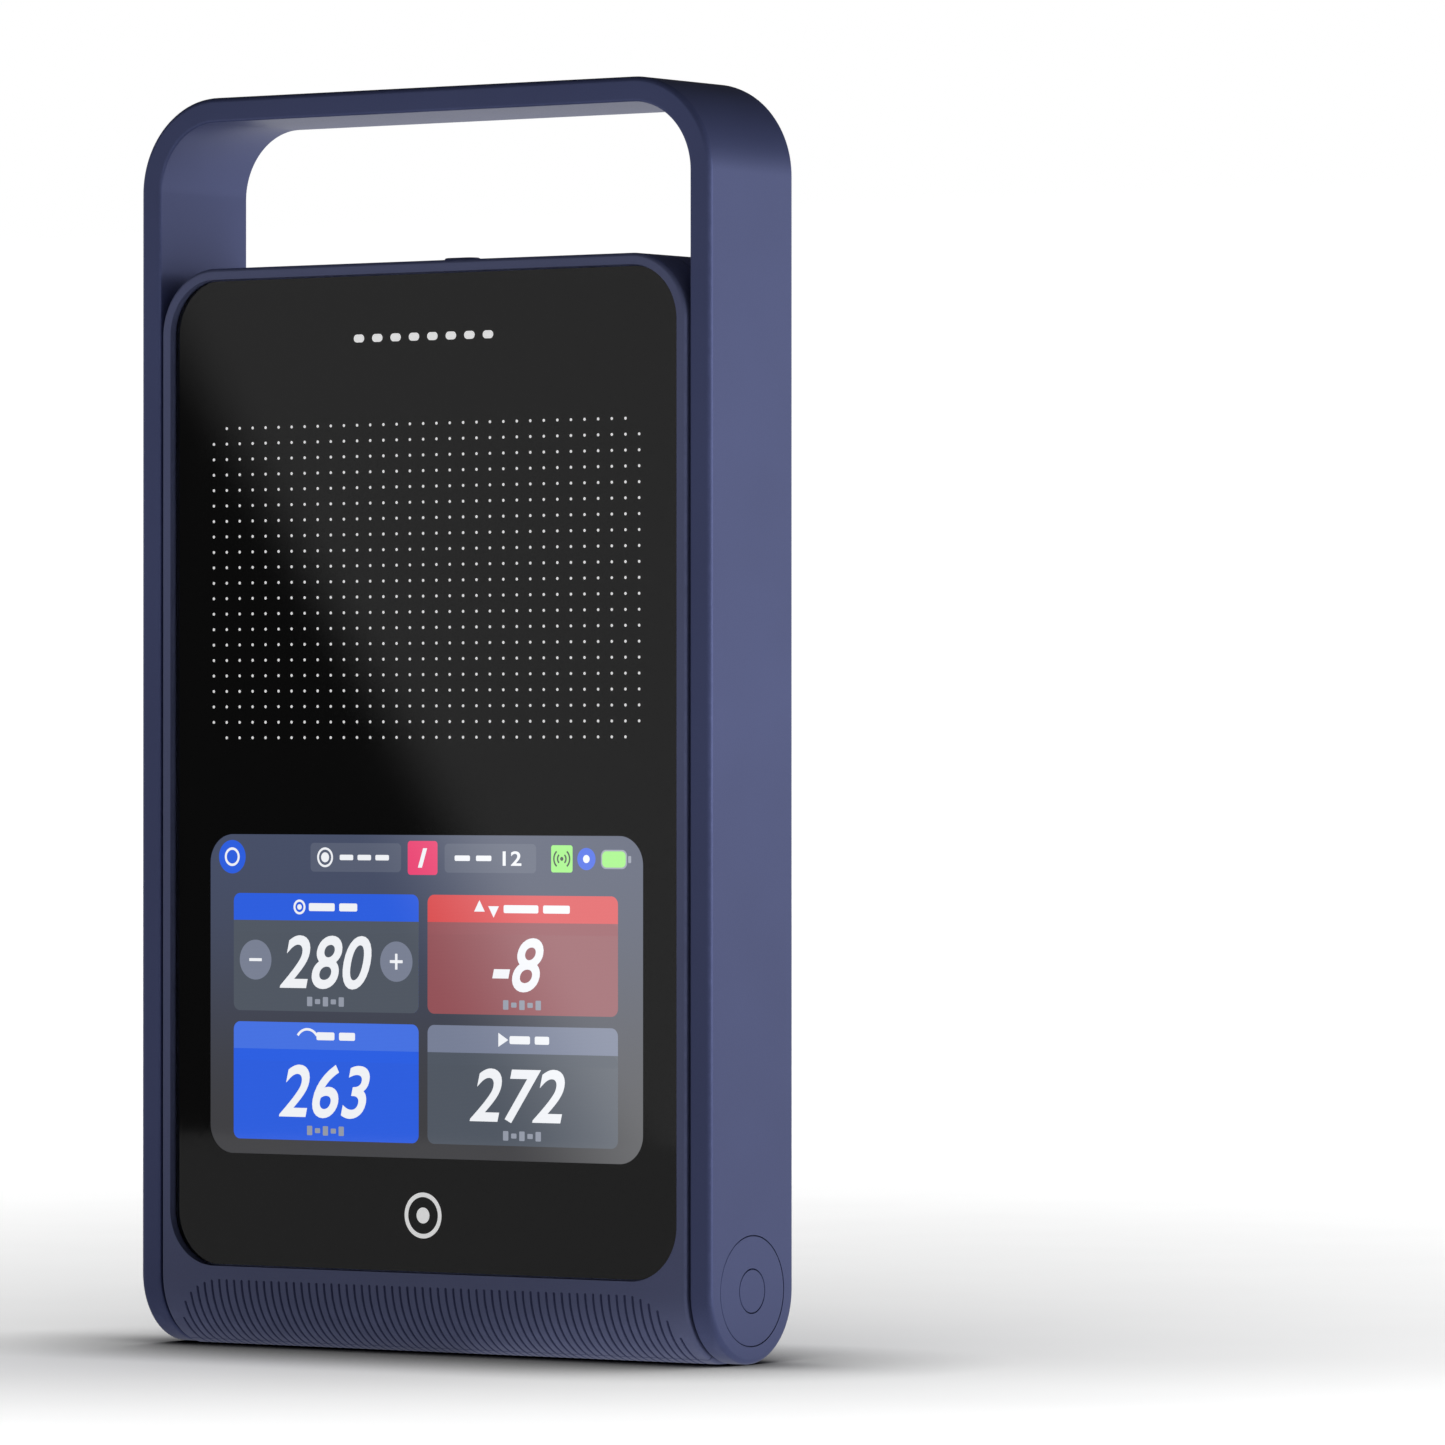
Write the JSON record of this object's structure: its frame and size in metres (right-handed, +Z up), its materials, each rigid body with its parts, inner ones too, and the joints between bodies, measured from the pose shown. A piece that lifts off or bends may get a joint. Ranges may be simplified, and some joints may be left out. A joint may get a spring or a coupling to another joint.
{
  "type": "golf launch monitor",
  "caption": "Portable golf launch monitor: ribbed slab housing with radar and screen, hung in a U-shaped handle that folds back into a stand.",
  "frame": {"origin": "on the floor, midway between the two arms of the handle and midway through the depth", "axes": "+Z up, -Y out of the screen and +Y out of the ribbed back, +X to the right of somebody facing the screen"},
  "size_m": [0.142, 0.0296, 0.254],
  "materials": {
    "shell": "satin",
    "band": "satin",
    "cover": "satin",
    "pad": "matte",
    "black_rubber": "matte",
    "panel": "gloss",
    "display": "gloss",
    "circuit": "satin",
    "steel": "brushed",
    "tinplate": "satin",
    "bronze": "satin",
    "chassis": "satin",
    "charcoal": "matte",
    "battery": "satin",
    "ribbon": "satin"
  },
  "bodies": {
    "housing": {"front_shell": "shell", "rear_shell": "shell", "front_panel": "panel", "panel_gasket": "black_rubber", "display_module": "display", "display_bracket": "steel", "display_cable": "ribbon", "radar_board": "circuit", "radar_shield": "tinplate", "radar_cable": "ribbon", "chassis_plate": "chassis", "main_board": "circuit", "processor_shield": "tinplate", "usb_c_port": "tinplate", "wireless_antenna": "charcoal", "battery_tray": "charcoal", "battery_pack": "battery", "battery_connector": "charcoal", "power_switch": "charcoal", "door_seal": "black_rubber", "chassis_screw_1": "steel", "chassis_screw_2": "steel", "chassis_screw_3": "steel", "chassis_screw_4": "steel", "board_screw_1": "steel", "board_screw_2": "steel", "board_screw_3": "steel", "board_screw_4": "steel", "tray_screw_1": "steel", "tray_screw_2": "steel", "hinge_bracket_left": "steel", "hinge_bracket_right": "steel", "pivot_bush_left": "bronze", "pivot_bush_right": "bronze"},
    "handle": {"handle_band": "band", "corner_pad_left": "pad", "corner_pad_right": "pad", "foot_pad_left": "pad", "foot_pad_right": "pad", "pivot_bolt_left": "steel", "pivot_bolt_right": "steel", "pivot_washer_left": "steel", "pivot_washer_right": "steel", "pivot_nut_left": "steel", "pivot_nut_right": "steel", "pivot_cap_left": "band", "pivot_cap_right": "band", "cap_plug_left": "band", "cap_plug_right": "band"},
    "power_button": {"power_button": "cover"},
    "rear_door": {"rear_door": "cover"},
    "port_cover": {"port_cover": "cover"}
  },
  "joints": [
    {"name": "handle_fold", "type": "hinge", "parent": "housing", "child": "handle", "pos_m": [0, 0, 0.0145], "axis": [-1, 0, 0], "range_deg": [0, 90]},
    {"name": "power_button_press", "type": "slide", "parent": "housing", "child": "power_button", "axis": [0, 0, -1], "range_m": [0, 0.0006], "stiffness_N_per_m": 800},
    {"name": "rear_door_lift", "type": "slide", "parent": "housing", "child": "rear_door", "axis": [0, 1, 0], "range_m": [0, 0.015]},
    {"name": "port_cover_pull", "type": "slide", "parent": "housing", "child": "port_cover", "axis": [0, 1, 0], "range_m": [0, 0.012]}
  ]
}
